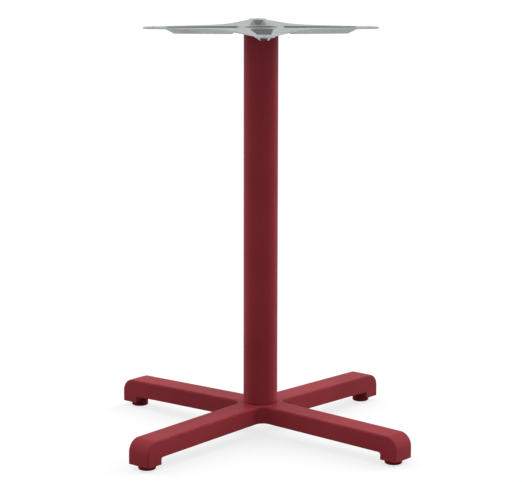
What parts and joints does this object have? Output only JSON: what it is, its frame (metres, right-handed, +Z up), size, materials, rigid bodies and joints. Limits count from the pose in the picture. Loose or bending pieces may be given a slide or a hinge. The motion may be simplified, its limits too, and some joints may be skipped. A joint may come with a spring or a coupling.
{
  "type": "table base",
  "caption": "Pedestal table base with a cast cross foot on round glides, a round burgundy column and a pressed zinc-plated star plate that carries the table top.",
  "frame": {"origin": "on the floor under the column axis", "axes": "+Z up along the column, the four legs along +X, +Y, -X and -Y, the plate's arms 42 degrees on from them"},
  "size_m": [0.6318, 0.6318, 0.72],
  "materials": {
    "burgundy_coat": "satin powder coat with a fine texture",
    "zinc_plate": "bright zinc plating",
    "glide_nylon": "matt moulded nylon, dark red"
  },
  "bodies": {
    "root": {"cross_base": "burgundy_coat", "column_tube": "burgundy_coat", "top_plate": "zinc_plate", "tie_rod": "zinc_plate", "top_nut": "zinc_plate", "top_washer": "zinc_plate", "base_nut": "zinc_plate", "base_washer": "zinc_plate", "glide_right": "glide_nylon", "glide_screw_right": "zinc_plate", "glide_rear": "glide_nylon", "glide_screw_rear": "zinc_plate", "glide_left": "glide_nylon", "glide_screw_left": "zinc_plate", "glide_front": "glide_nylon", "glide_screw_front": "zinc_plate"}
  },
  "joints": []
}
